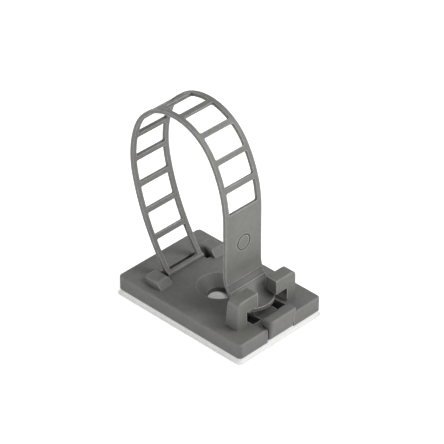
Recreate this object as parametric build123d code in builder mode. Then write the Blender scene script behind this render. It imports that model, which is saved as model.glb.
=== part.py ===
"""Adhesive cable clip: a ladder strap that loops from its root to a latch on a small stick-on base.

The origin is under the middle of the release liner. +X runs along the base to the latch
and its thumb tab, +Z points up, and the screw hole stands on the Z axis.
"""
import os

from build123d import *

# Base plate
PLATE_L = 28.6
PLATE_W = 19.4
PLATE_T = 2.7
PLATE_CORNER = 0.8
PLATE_EDGE = 0.35

# Adhesive: a foam pad with its release liner
FOAM_T = 0.9
FOAM_INSET = 0.3
LINER_T = 0.2
LINER_LAP = 0.25

# Countersunk screw hole
HOLE_D = 4.0
SINK_D = 7.6

# Ladder strap
STRAP_W = 8.35
STRAP_T = 0.65
RAIL_W = 0.87
WINDOW_L = 3.95
WINDOW_CORNER = 0.25
RUNG_PITCH = 4.88
FOOT_RUNG = 6.7
FOOT_WINDOW_END = 0.5
STRAP_GAP = 1.3
TAIL_L = 19.0
MARK_D = 3.1
MARK_H = 11.7
MARK_RIM = 0.3
MARK_DEPTH = 0.15

# Loop of the strap from the latch to its root, as arcs that follow each other smoothly
TIP_X = 11.3
RISER_X = 5.4
BEND_R = 5.2
RISER_L = 9.9
NEAR_R, NEAR_SWEEP = 21.0, 32.0
CROWN_R, CROWN_SWEEP = 10.0, 70.0
SHOULDER_R, SHOULDER_SWEEP = 9.0, 57.0
FAR_R, FAR_SWEEP = 17.5, 32.0

# Flexing groove across the tail
FLEX_DEPTH = 0.2
FLEX_FROM = 22.0
FLEX_SWEEP = 14.0

# Root of the strap: a round rib between two slots, a well behind it and a lug on each side
ROOT_X = -8.15
ROOT_D = 1.2
ROOT_RISE = 0.1
ROOT_OVERLAP = 0.15
WELL_L = 1.2
SLOT_W = 0.9
SLOT_FRONT = 1.3
LUG_W = 2.8
LUG_H = 1.25
LUG_L = 3.1
LUG_RAMP = 1.0
LUG_EDGE = 0.5
LUG_CORNER = 0.6
LUG_LAP = 0.1

# Latch: two hooks that face each other over the strap
HOOK_X = 8.1
HOOK_L = 3.0
HOOK_LEAN = 0.6
HOOK_H = 5.2
HOOK_THROAT = 2.6
HOOK_REACH = 2.2
POST_PLAY = 0.6
POST_T = 2.15
HOOK_CORNER = 1.0
HOOK_EDGE = 0.25
WELL_X = 8.3
SILL_LEAD = 0.5
WELL_SIDE = 0.9

# Release lever with its tooth and thumb tab
LEVER_ROOT_X = 5.9
LEVER_W = 4.0
LEVER_T = 1.2
LEVER_SLOT = 0.5
TOOTH_LEAD = 0.7
TOOTH_L = 1.3
TOOTH_GAP = 0.3
TAB_W = 6.0
TAB_H = 1.65
TAB_TOP_L = 2.05
TAB_REACH = 0.85
TAB_FOOT = 0.5
TAB_EDGE = 0.35
TAB_CORNER = 0.5
TAB_FOOT_REACH = 0.2
TAB_FOOT_L = 0.8
TAB_SLOT = 0.15

# Levels that follow from the sizes above
UNDER = LINER_T + FOAM_T
TOP = UNDER + PLATE_T
NEAR_END = PLATE_L / 2
ROOT_Z = TOP + ROOT_RISE
TIP_Z = TOP + STRAP_GAP + STRAP_T / 2
LUG_Y = STRAP_W / 2 + SLOT_W
WELL_BACK = ROOT_X - ROOT_D / 2 + ROOT_OVERLAP - WELL_L
LUG_BACK = WELL_BACK - LUG_LAP
POST_Y = STRAP_W / 2 + POST_PLAY
SILL_X = HOOK_X + HOOK_L + SILL_LEAD
TAB_X = NEAR_END + TAB_REACH
TAB_BACK = TAB_X - TAB_TOP_L

# Release liner
with BuildPart() as release_liner:
    with BuildSketch(Plane.XY):
        RectangleRounded(PLATE_L + 2 * LINER_LAP, PLATE_W + 2 * LINER_LAP, PLATE_CORNER)
    extrude(amount=LINER_T)

# Foam pad
with BuildPart() as foam_pad:
    with BuildSketch(Plane.XY.offset(LINER_T)):
        RectangleRounded(PLATE_L - 2 * FOAM_INSET, PLATE_W - 2 * FOAM_INSET, PLATE_CORNER)
    extrude(amount=FOAM_T)

# Centre line of the strap, from its rounded tip over the loop to its root
with BuildLine() as loop:
    tip = Line((TIP_X, TIP_Z), (RISER_X + BEND_R, TIP_Z))
    bend = JernArc(tip @ 1, (-1, 0), BEND_R, -90)
    riser = Line(bend @ 1, bend @ 1 + Vector(0, RISER_L))
    near = JernArc(riser @ 1, riser % 1, NEAR_R, NEAR_SWEEP)
    crown = JernArc(near @ 1, near % 1, CROWN_R, CROWN_SWEEP)
    shoulder = JernArc(crown @ 1, crown % 1, SHOULDER_R, SHOULDER_SWEEP)
    far = JernArc(shoulder @ 1, shoulder % 1, FAR_R, FAR_SWEEP)
    foot = TangentArc(far @ 1, (ROOT_X, ROOT_Z), tangent=far % 1)

centre = loop.wires()[0]


def across(distance):
    """Plane that lies on the strap at this distance from the root, with X across the strap."""
    at = centre.position_at(centre.length - distance, position_mode=PositionMode.LENGTH)
    run = centre.tangent_at(centre.length - distance, position_mode=PositionMode.LENGTH)
    return Plane(origin=(at.X, 0, at.Y), x_dir=(0, 1, 0), z_dir=(-run.Y, 0, run.X))


# Ladder windows at one pitch, from the rung at the foot up to the solid tail
ladder_l = centre.length - TAIL_L - FOOT_RUNG
window_count = int(ladder_l / RUNG_PITCH)
windows = [across(FOOT_RUNG + RUNG_PITCH * (k + 0.5)) for k in range(window_count)]
rung_l = RUNG_PITCH - WINDOW_L
foot_window_l = FOOT_RUNG - rung_l / 2 - FOOT_WINDOW_END

# Ladder strap
with BuildPart() as ladder_strap:
    with BuildSketch(Plane.XZ):
        trace(loop.line, STRAP_T)
    extrude(amount=STRAP_W / 2, both=True)

    with BuildSketch(*windows):
        RectangleRounded(STRAP_W - 2 * RAIL_W, WINDOW_L, WINDOW_CORNER)
    with BuildSketch(across(FOOT_RUNG - rung_l / 2 - foot_window_l / 2)):
        RectangleRounded(STRAP_W - 2 * RAIL_W, foot_window_l, WINDOW_CORNER)
    extrude(amount=2 * STRAP_T, both=True, mode=Mode.SUBTRACT)

    # Rounded tip of the tail
    with BuildSketch(Plane.XY.offset(TIP_Z - STRAP_T)):
        with Locations((TIP_X - STRAP_W / 2, 0)):
            Rectangle(STRAP_W, 2 * STRAP_W, align=(Align.MIN, Align.CENTER))
            Circle(STRAP_W / 2, mode=Mode.SUBTRACT)
    extrude(amount=BEND_R, mode=Mode.SUBTRACT)

    # Groove where the tail flexes, on the side away from the bundle
    with BuildSketch(Plane.XZ):
        with BuildLine():
            pivot = (RISER_X + BEND_R, TIP_Z + BEND_R)
            floor = CenterArc(pivot, BEND_R - STRAP_T / 2 + FLEX_DEPTH, 180 + FLEX_FROM, FLEX_SWEEP)
            roof = CenterArc(pivot, BEND_R - STRAP_T, 180 + FLEX_FROM, FLEX_SWEEP)
            Line(floor @ 0, roof @ 0)
            Line(floor @ 1, roof @ 1)
        make_face()
    extrude(amount=STRAP_W / 2, both=True, mode=Mode.SUBTRACT)

    # Round mark on the tail: a shallow ring
    with BuildSketch(Plane.YZ.offset(RISER_X + STRAP_T / 2)):
        with Locations((0, TOP + MARK_H)):
            Circle(MARK_D / 2)
            Circle(MARK_D / 2 - MARK_RIM, mode=Mode.SUBTRACT)
    extrude(amount=-MARK_DEPTH, mode=Mode.SUBTRACT)

    # Round rib at the root
    with BuildSketch(Plane.XZ):
        with Locations((ROOT_X, ROOT_Z)):
            Circle(ROOT_D / 2)
    extrude(amount=STRAP_W / 2, both=True)

# Lug with a ramp that leads down to the plate
with BuildPart() as lug:
    with BuildSketch(Plane.XZ.offset(-LUG_Y)):
        with BuildLine():
            Polyline(
                (LUG_BACK, TOP - PLATE_EDGE),
                (LUG_BACK, TOP + LUG_H),
                (LUG_BACK + LUG_L, TOP + LUG_H),
                (LUG_BACK + LUG_L + LUG_RAMP, TOP),
                (LUG_BACK + LUG_L + LUG_RAMP, TOP - PLATE_EDGE),
                close=True,
            )
        make_face()
    extrude(amount=-LUG_W)
    fillet(lug.edges().filter_by(Axis.Z).group_by(Axis.X)[0], LUG_CORNER)
    fillet(lug.faces().sort_by(Axis.Z)[-1].edges(), LUG_EDGE)

# Hook: a post with an arm that reaches in over the strap
with BuildPart() as hook:
    with BuildSketch(Plane.YZ.offset(HOOK_X)) as hook_front:
        with BuildLine():
            Polyline(
                (POST_Y + POST_T, TOP - PLATE_EDGE),
                (POST_Y + POST_T, TOP + HOOK_H),
                (HOOK_REACH, TOP + HOOK_H),
                (HOOK_REACH, TOP + HOOK_THROAT),
                (POST_Y, TOP + HOOK_THROAT),
                (POST_Y, TOP - PLATE_EDGE),
                close=True,
            )
        make_face()
        fillet(hook_front.vertices().sort_by(lambda v: v.X + v.Y)[-1], HOOK_CORNER)
    extrude(amount=HOOK_L)
    with BuildSketch(Plane.XZ):
        Polygon(
            (HOOK_X, TOP),
            (HOOK_X + HOOK_LEAN, TOP + HOOK_H),
            (HOOK_X, TOP + HOOK_H),
            align=None,
        )
    extrude(amount=-(POST_Y + POST_T), mode=Mode.SUBTRACT)
    fillet(hook.faces().sort_by(Axis.Z)[-1].edges().filter_by(Axis.Y).sort_by(Axis.X)[0], HOOK_EDGE)
    front_edges = hook.faces().sort_by(Axis.X)[-1].edges()
    fillet(front_edges.sort_by(lambda edge: edge.center().Y + edge.center().Z)[-3:], HOOK_EDGE)

# Release lever: a springy tongue of the plate with a tooth, and the thumb tab on its end
with BuildPart() as lever:
    with BuildSketch(Plane.XZ.offset(-LEVER_W / 2)):
        with BuildLine():
            Polyline(
                (LEVER_ROOT_X, TOP),
                (HOOK_X + TOOTH_LEAD, TOP),
                (HOOK_X + TOOTH_LEAD + TOOTH_L, TIP_Z - STRAP_T / 2 - TOOTH_GAP),
                (HOOK_X + TOOTH_LEAD + TOOTH_L, TOP),
                (TAB_BACK + TAB_EDGE, TOP),
                (TAB_BACK + TAB_EDGE, TOP - LEVER_T),
                (LEVER_ROOT_X, TOP - LEVER_T),
                close=True,
            )
        make_face()
    extrude(amount=LEVER_W)
    with BuildSketch(Plane.XZ.offset(-TAB_W / 2)):
        with BuildLine():
            Polyline(
                (TAB_BACK, TOP - LEVER_T),
                (TAB_BACK, TOP + TAB_H),
                (TAB_X, TOP + TAB_H),
                (NEAR_END + TAB_FOOT_REACH, UNDER + TAB_FOOT),
                (NEAR_END + TAB_FOOT_REACH - TAB_FOOT_L, UNDER + TAB_FOOT),
                close=True,
            )
        make_face()
    extrude(amount=TAB_W)
    tab_front = lever.faces().sort_by(Axis.X)[-1]
    fillet(tab_front.edges().filter_by(Axis.Y, reverse=True), TAB_CORNER)
    fillet(lever.faces().sort_by(Axis.Z)[-1].edges(), TAB_EDGE)

# Moulding: the base with its lugs, hooks and lever, and the strap that grows out of it
with BuildPart() as clip:
    with BuildSketch(Plane.XY.offset(UNDER)):
        RectangleRounded(PLATE_L, PLATE_W, PLATE_CORNER)
    extrude(amount=PLATE_T)
    fillet(clip.faces().sort_by(Axis.Z)[-1].edges(), PLATE_EDGE)

    with Locations((0, 0, TOP)):
        CounterSinkHole(
            radius=HOLE_D / 2,
            counter_sink_radius=SINK_D / 2,
            depth=PLATE_T,
            counter_sink_angle=90,
        )

    for side in (lug, hook):
        add(side.part)
        add(mirror(side.part, about=Plane.XZ, mode=Mode.PRIVATE))

    # Well behind the root and a slot on each side of it
    with BuildSketch(Plane.XY.offset(UNDER)):
        with Locations((WELL_BACK, 0)):
            Rectangle(ROOT_X + SLOT_FRONT - WELL_BACK, 2 * LUG_Y, align=(Align.MIN, Align.CENTER))
        with Locations((WELL_BACK + WELL_L, 0)):
            Rectangle(
                ROOT_X + SLOT_FRONT - WELL_BACK,
                STRAP_W,
                align=(Align.MIN, Align.CENTER),
                mode=Mode.SUBTRACT,
            )
    extrude(amount=PLATE_T, mode=Mode.SUBTRACT)

    # Window under the hooks, the lever's slots and its way through the sill, and the tab's notch
    with BuildSketch(Plane.XY.offset(UNDER)):
        with Locations((WELL_X, 0)):
            Rectangle(SILL_X - WELL_X, 2 * (POST_Y - WELL_SIDE), align=(Align.MIN, Align.CENTER))
        with Locations((LEVER_ROOT_X, 0)):
            Rectangle(WELL_X - LEVER_ROOT_X, LEVER_W + 2 * LEVER_SLOT, align=(Align.MIN, Align.CENTER))
        with Locations((SILL_X, 0)):
            Rectangle(NEAR_END - SILL_X, LEVER_W + 2 * TAB_SLOT, align=(Align.MIN, Align.CENTER))
        with Locations((TAB_BACK - TAB_SLOT, 0)):
            Rectangle(TAB_REACH + TAB_TOP_L, TAB_W + 2 * TAB_SLOT, align=(Align.MIN, Align.CENTER))
    extrude(amount=PLATE_T, mode=Mode.SUBTRACT)

    add(lever.part)
    add(ladder_strap.part)

os.makedirs("parts", exist_ok=True)
clip.part.label = "clip"
export_step(clip.part, "parts/clip.step")
foam_pad.part.label = "foam_pad"
export_step(foam_pad.part, "parts/foam_pad.step")
release_liner.part.label = "release_liner"
export_step(release_liner.part, "parts/release_liner.step")
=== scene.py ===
"""Looks for the adhesive cable clip: moulded nylon, foam, liner, studio light and camera."""
import math

import bpy
from mathutils import Matrix, Vector

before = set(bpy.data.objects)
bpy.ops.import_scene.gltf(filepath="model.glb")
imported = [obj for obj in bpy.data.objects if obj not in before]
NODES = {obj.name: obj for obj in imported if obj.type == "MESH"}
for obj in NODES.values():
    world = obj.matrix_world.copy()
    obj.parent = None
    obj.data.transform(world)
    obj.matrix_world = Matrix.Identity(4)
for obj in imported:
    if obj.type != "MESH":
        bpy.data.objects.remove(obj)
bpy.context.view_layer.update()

MM = 0.001
SHADER_SAMPLES = 8

# Camera: where it looks from, and the pixel and distance of the middle of the plate's top
AZIMUTH = 44.447
ELEVATION = 34.717
ROLL = 0.136
LENS = 212.2
SENSOR = 36.0
IMAGE = 444
PLATE_TOP = 3.8 * MM
AIM_PIXEL = (218.9, 285.4)
AIM_DEPTH = 437.3 * MM

# Lamps: place and size in metres, power in watts, all aimed at one point above the base
LAMP_AIM = Vector((0, 0, 10 * MM))
LAMPS = {
    "key": ((0.36, 0.20, 0.42), 0.16, 0.78),
    "key_mid": ((0.24, 0.28, 0.36), 0.16, 0.48),
    "key_side": ((0.14, 0.24, 0.48), 0.16, 0.42),
    "front": ((0.46, 0.08, 0.25), 0.16, 0.60),
    "front_low": ((0.40, -0.12, 0.03), 0.20, 0.66),
    "side": ((-0.22, -0.38, 0.05), 0.30, 1.10),
    "back": ((-0.40, 0.12, 0.26), 0.30, 0.20),
}
SKY = 0.07
FLOOR_HALF = 3.0
FLOOR_COLOUR = (0.94, 0.94, 0.94, 1)
FLOOR_GLOW = 0.75

# Nylon: edges softened by the mould, painted highlights along sharp edges, and painted shade in recesses
# and at the feet of taller parts
MOULD_RADIUS = 0.16 * MM
EDGE_HIGHLIGHT_RADIUS = 0.30 * MM
EDGE_HIGHLIGHT_REACH = 0.6 * MM
SHADE_REACH = 9 * MM
CONTACT_SHADE_REACH = 1.6 * MM

# Painted light: a glow on the rims of the white layers, standing in for light from the lit floor below
# them
FOAM_GLOW = 0.24
FOAM_RIM = 0.2 * MM
LINER_GLOW = 0.36
LINER_RIM = 1.0 * MM


def new_material(name):
    """Empty node material: returns it with its tree and the surface output."""
    material = bpy.data.materials.new(name)
    material.use_nodes = True
    tree = material.node_tree
    tree.nodes.clear()
    return material, tree, tree.nodes.new("ShaderNodeOutputMaterial")


def noise(tree, per_mm, detail=4.0, rough=0.55, stretch=(1, 1, 1), seed=0.0):
    """Noise in the part's own frame, with about this many features to the millimetre."""
    place = tree.nodes.new("ShaderNodeTexCoord")
    mapping = tree.nodes.new("ShaderNodeMapping")
    mapping.inputs["Location"].default_value = (seed, seed * 0.7, seed * 0.3)
    mapping.inputs["Scale"].default_value = stretch
    texture = tree.nodes.new("ShaderNodeTexNoise")
    texture.inputs["Scale"].default_value = per_mm / MM
    texture.inputs["Detail"].default_value = detail
    texture.inputs["Roughness"].default_value = rough
    tree.links.new(place.outputs["Object"], mapping.inputs["Vector"])
    tree.links.new(mapping.outputs["Vector"], texture.inputs["Vector"])
    return texture.outputs["Fac"]


def spread(tree, value, low, high, source=(0.3, 0.7)):
    """Maps a noise value onto a range of numbers."""
    node = tree.nodes.new("ShaderNodeMapRange")
    node.inputs["From Min"].default_value = source[0]
    node.inputs["From Max"].default_value = source[1]
    node.inputs["To Min"].default_value = low
    node.inputs["To Max"].default_value = high
    tree.links.new(value, node.inputs["Value"])
    return node.outputs["Result"]


def blend_colours(tree, factor, first, second):
    """Mixes two colours by a factor, each a colour or another node's output."""
    node = tree.nodes.new("ShaderNodeMix")
    node.data_type = "RGBA"
    tree.links.new(factor, node.inputs["Factor"])
    for socket, colour in ((node.inputs["A"], first), (node.inputs["B"], second)):
        if isinstance(colour, tuple):
            socket.default_value = colour
        else:
            tree.links.new(colour, socket)
    return node.outputs["Result"]


def bump(tree, height, distance, strength=1.0, normal=None):
    """Bump of this height in metres, laid over another normal."""
    node = tree.nodes.new("ShaderNodeBump")
    node.inputs["Distance"].default_value = distance
    node.inputs["Strength"].default_value = strength
    tree.links.new(height, node.inputs["Height"])
    if normal is not None:
        tree.links.new(normal, node.inputs["Normal"])
    return node.outputs["Normal"]


def soft_normal(tree, radius):
    """Normal of the surface as if its edges were rounded by this radius."""
    node = tree.nodes.new("ShaderNodeBevel")
    node.samples = SHADER_SAMPLES
    node.inputs["Radius"].default_value = radius
    return node.outputs["Normal"]


def edge_mask(tree, radius, reach):
    """1 along outer and inner edges within this radius, 0 on flat faces."""
    flat = tree.nodes.new("ShaderNodeNewGeometry")
    turn = tree.nodes.new("ShaderNodeVectorMath")
    turn.operation = "DOT_PRODUCT"
    tree.links.new(soft_normal(tree, radius), turn.inputs[0])
    tree.links.new(flat.outputs["Normal"], turn.inputs[1])
    return spread(tree, turn.outputs["Value"], 1.0, 0.0, (1.0 - reach, 1.0))


def openness(tree, reach, closed, open_from):
    """1 on open faces, towards 0 in recesses of this reach."""
    node = tree.nodes.new("ShaderNodeAmbientOcclusion")
    node.samples = SHADER_SAMPLES
    node.inputs["Distance"].default_value = reach
    return spread(tree, node.outputs["AO"], 0.0, 1.0, (closed, open_from))


def maths(tree, operation, *values):
    """One maths node on these values."""
    node = tree.nodes.new("ShaderNodeMath")
    node.operation = operation
    for value, socket in zip(values, node.inputs):
        tree.links.new(value, socket)
    return node.outputs[0]


def rim_mask(tree, layer, margin):
    """1 within this margin of a flat layer's outline, 0 further in."""
    place = tree.nodes.new("ShaderNodeTexCoord")
    split = tree.nodes.new("ShaderNodeSeparateXYZ")
    tree.links.new(place.outputs["Object"], split.inputs["Vector"])
    near = []
    for axis in (0, 1):
        half = max(abs(corner[axis]) for corner in layer.bound_box)
        distance = maths(tree, "ABSOLUTE", split.outputs[axis])
        near.append(spread(tree, distance, 0.0, 1.0, (half - margin, half - margin / 2)))
    return maths(tree, "MAXIMUM", *near)


def paint_glow(tree, shader, rim, strength):
    """Painted light: a faint white glow where the mask is 1."""
    glow = blend_colours(tree, rim, (0, 0, 0, 1), (1, 1, 1, 1))
    tree.links.new(glow, shader.inputs["Emission Color"])
    shader.inputs["Emission Strength"].default_value = strength


def nylon():
    """Grey moulded nylon: satin, a little cloudy, with a fine spark-eroded grain, painted highlights that
    make its edges paler, and painted shade in its recesses.
    """
    material, tree, output = new_material("grey_nylon")
    shader = tree.nodes.new("ShaderNodeBsdfPrincipled")
    cloud = spread(tree, noise(tree, 0.22, 3.0), 0.0, 1.0)
    mottle = spread(tree, noise(tree, 1.3, 3.0, 0.6, seed=3.1), 0.0, 0.8)
    speck = spread(tree, noise(tree, 4.0, 2.0, seed=6.4), 0.0, 0.5)
    tone = blend_colours(tree, cloud, (0.160, 0.162, 0.152, 1), (0.184, 0.183, 0.172, 1))
    tone = blend_colours(tree, mottle, tone, (0.220, 0.218, 0.204, 1))
    tone = blend_colours(tree, speck, tone, (0.140, 0.140, 0.132, 1))
    # Painted shade: darker in recesses and beside taller parts, out to about 9 mm
    painted_shade_tone = blend_colours(tree, mottle, (0.088, 0.088, 0.082, 1), (0.104, 0.103, 0.096, 1))
    tone = blend_colours(tree, openness(tree, SHADE_REACH, 0.30, 0.98), painted_shade_tone, tone)
    # Painted shade: much darker in tight corners and at the feet of the hooks and lugs
    painted_contact_shade = blend_colours(tree, mottle, (0.044, 0.043, 0.038, 1), (0.060, 0.059, 0.052, 1))
    tone = blend_colours(tree, openness(tree, CONTACT_SHADE_REACH, 0.05, 0.52), painted_contact_shade, tone)
    # Painted highlight: paler, patchy lines along convex edges
    edge_highlight_mask = maths(tree, "MULTIPLY", edge_mask(tree, EDGE_HIGHLIGHT_RADIUS, 0.06), openness(tree, EDGE_HIGHLIGHT_REACH, 0.80, 0.97))
    patchy = spread(tree, noise(tree, 0.7, 3.0, seed=12.3), 0.5, 1.0)
    painted_edge_highlight = maths(tree, "MULTIPLY", edge_highlight_mask, patchy)
    tone = blend_colours(tree, painted_edge_highlight, tone, (0.400, 0.398, 0.380, 1))
    tree.links.new(tone, shader.inputs["Base Color"])
    tree.links.new(spread(tree, noise(tree, 0.5, 4.0, seed=1.7), 0.46, 0.60), shader.inputs["Roughness"])
    shader.inputs["IOR"].default_value = 1.5
    moulded = soft_normal(tree, MOULD_RADIUS)
    flow = bump(tree, noise(tree, 0.35, 2.0, seed=5.3), 0.05 * MM, normal=moulded)
    grain = bump(tree, noise(tree, 6.0, 3.0, seed=8.9), 0.008 * MM, normal=flow)
    tree.links.new(grain, shader.inputs["Normal"])
    tree.links.new(shader.outputs["BSDF"], output.inputs["Surface"])
    return material


def foam(layer):
    """White closed-cell foam, darker on its rim, with small cells and a painted glow on the rim."""
    material, tree, output = new_material("white_foam")
    shader = tree.nodes.new("ShaderNodeBsdfPrincipled")
    cells = tree.nodes.new("ShaderNodeTexVoronoi")
    cells.inputs["Scale"].default_value = 5.0 / MM
    place = tree.nodes.new("ShaderNodeTexCoord")
    tree.links.new(place.outputs["Object"], cells.inputs["Vector"])
    shade = spread(tree, cells.outputs["Distance"], 0.0, 1.0, (0.0, 0.8))
    rim = rim_mask(tree, layer, FOAM_RIM)
    clean = blend_colours(tree, shade, (0.86, 0.86, 0.84, 1), (0.94, 0.94, 0.93, 1))
    foam_rim_tone = blend_colours(tree, shade, (0.51, 0.51, 0.50, 1), (0.59, 0.59, 0.58, 1))
    tone = blend_colours(tree, rim, clean, foam_rim_tone)
    tree.links.new(tone, shader.inputs["Base Color"])
    shader.inputs["Roughness"].default_value = 0.85
    # Painted light: the foam's rim glows
    paint_glow(tree, shader, rim, FOAM_GLOW)
    tree.links.new(bump(tree, cells.outputs["Distance"], 0.04 * MM), shader.inputs["Normal"])
    tree.links.new(shader.outputs["BSDF"], output.inputs["Surface"])
    return material


def liner(layer):
    """Coated release paper with faint fibres, darker on its rim, with a painted glow on the rim."""
    material, tree, output = new_material("liner_paper")
    shader = tree.nodes.new("ShaderNodeBsdfPrincipled")
    fibre = spread(tree, noise(tree, 2.0, 5.0, 0.7, stretch=(1, 0.25, 1)), 0.0, 1.0)
    rim = rim_mask(tree, layer, LINER_RIM)
    clean = blend_colours(tree, fibre, (0.86, 0.86, 0.84, 1), (0.93, 0.93, 0.92, 1))
    liner_rim_tone = blend_colours(tree, fibre, (0.52, 0.52, 0.51, 1), (0.58, 0.58, 0.57, 1))
    tone = blend_colours(tree, rim, clean, liner_rim_tone)
    tree.links.new(tone, shader.inputs["Base Color"])
    tree.links.new(spread(tree, fibre, 0.32, 0.42, (0, 1)), shader.inputs["Roughness"])
    # Painted light: the liner's rim glows
    paint_glow(tree, shader, rim, LINER_GLOW)
    tree.links.new(bump(tree, fibre, 0.006 * MM), shader.inputs["Normal"])
    tree.links.new(shader.outputs["BSDF"], output.inputs["Surface"])
    return material


def shown(tree):
    """1 for rays that show the background: from the camera, or by reflection or transmission."""
    path = tree.nodes.new("ShaderNodeLightPath")
    direct = maths(tree, "MAXIMUM", path.outputs["Is Camera Ray"], path.outputs["Is Glossy Ray"])
    return maths(tree, "MAXIMUM", direct, path.outputs["Is Transmission Ray"])


def floor():
    """Pale floor that shows white where nothing shades it."""
    material, tree, output = new_material("floor")
    diffuse = tree.nodes.new("ShaderNodeBsdfDiffuse")
    diffuse.inputs["Color"].default_value = FLOOR_COLOUR
    glow = tree.nodes.new("ShaderNodeEmission")
    glow.inputs["Strength"].default_value = FLOOR_GLOW
    both = tree.nodes.new("ShaderNodeAddShader")
    tree.links.new(diffuse.outputs[0], both.inputs[0])
    tree.links.new(glow.outputs[0], both.inputs[1])
    mix = tree.nodes.new("ShaderNodeMixShader")
    tree.links.new(shown(tree), mix.inputs["Fac"])
    tree.links.new(diffuse.outputs[0], mix.inputs[1])
    tree.links.new(both.outputs[0], mix.inputs[2])
    tree.links.new(mix.outputs[0], output.inputs["Surface"])
    mesh = bpy.data.meshes.new("floor")
    h = FLOOR_HALF
    mesh.from_pydata([(-h, -h, 0), (h, -h, 0), (h, h, 0), (-h, h, 0)], [], [(0, 1, 2, 3)])
    obj = bpy.data.objects.new("floor", mesh)
    bpy.context.collection.objects.link(obj)
    mesh.materials.append(material)


def sky():
    """Soft even light from the world, white where it is seen."""
    world = bpy.data.worlds.new("studio")
    bpy.context.scene.world = world
    world.use_nodes = True
    tree = world.node_tree
    tree.nodes.clear()
    output = tree.nodes.new("ShaderNodeOutputWorld")
    light = tree.nodes.new("ShaderNodeBackground")
    light.inputs["Strength"].default_value = SKY
    white = tree.nodes.new("ShaderNodeBackground")
    white.inputs["Strength"].default_value = 1.0
    mix = tree.nodes.new("ShaderNodeMixShader")
    tree.links.new(shown(tree), mix.inputs["Fac"])
    tree.links.new(light.outputs[0], mix.inputs[1])
    tree.links.new(white.outputs[0], mix.inputs[2])
    tree.links.new(mix.outputs[0], output.inputs["Surface"])


def lamps():
    """Large soft lamps, all turned to the same point."""
    for name, (place, size, watts) in LAMPS.items():
        data = bpy.data.lights.new(name, "AREA")
        data.shape = "DISK"
        data.size = size
        data.energy = watts
        obj = bpy.data.objects.new(name, data)
        obj.location = place
        obj.rotation_euler = (LAMP_AIM - Vector(place)).to_track_quat("-Z", "Y").to_euler()
        bpy.context.collection.objects.link(obj)


def camera():
    """Camera at the photograph's place, from its angles and the pixel and distance it aims by."""
    a, e = math.radians(AZIMUTH), math.radians(ELEVATION)
    right = Vector((math.cos(a), math.sin(a), 0))
    back = Vector((math.sin(a) * math.cos(e), -math.cos(a) * math.cos(e), math.sin(e)))
    up = back.cross(right)
    turned = Matrix((right, up, back)).transposed() @ Matrix.Rotation(-math.radians(ROLL), 3, "Z")
    pixels = LENS / SENSOR * IMAGE
    middle = IMAGE / 2
    aim = Vector((
        (AIM_PIXEL[0] - middle) * AIM_DEPTH / pixels,
        (middle - AIM_PIXEL[1]) * AIM_DEPTH / pixels,
        -AIM_DEPTH,
    ))
    data = bpy.data.cameras.new("camera")
    data.lens = LENS
    data.sensor_width = SENSOR
    data.clip_start = 0.01
    obj = bpy.data.objects.new("camera", data)
    obj.matrix_world = turned.to_4x4()
    obj.matrix_world.translation = Vector((0, 0, PLATE_TOP)) - turned @ aim
    bpy.context.collection.objects.link(obj)
    bpy.context.scene.camera = obj


MATERIALS = {
    "clip": nylon(),
    "foam_pad": foam(NODES["foam_pad"]),
    "release_liner": liner(NODES["release_liner"]),
}
for name, material in MATERIALS.items():
    for slot in NODES[name].material_slots:
        slot.material = material

floor()
sky()
lamps()
camera()
bpy.context.scene.view_settings.view_transform = "Standard"
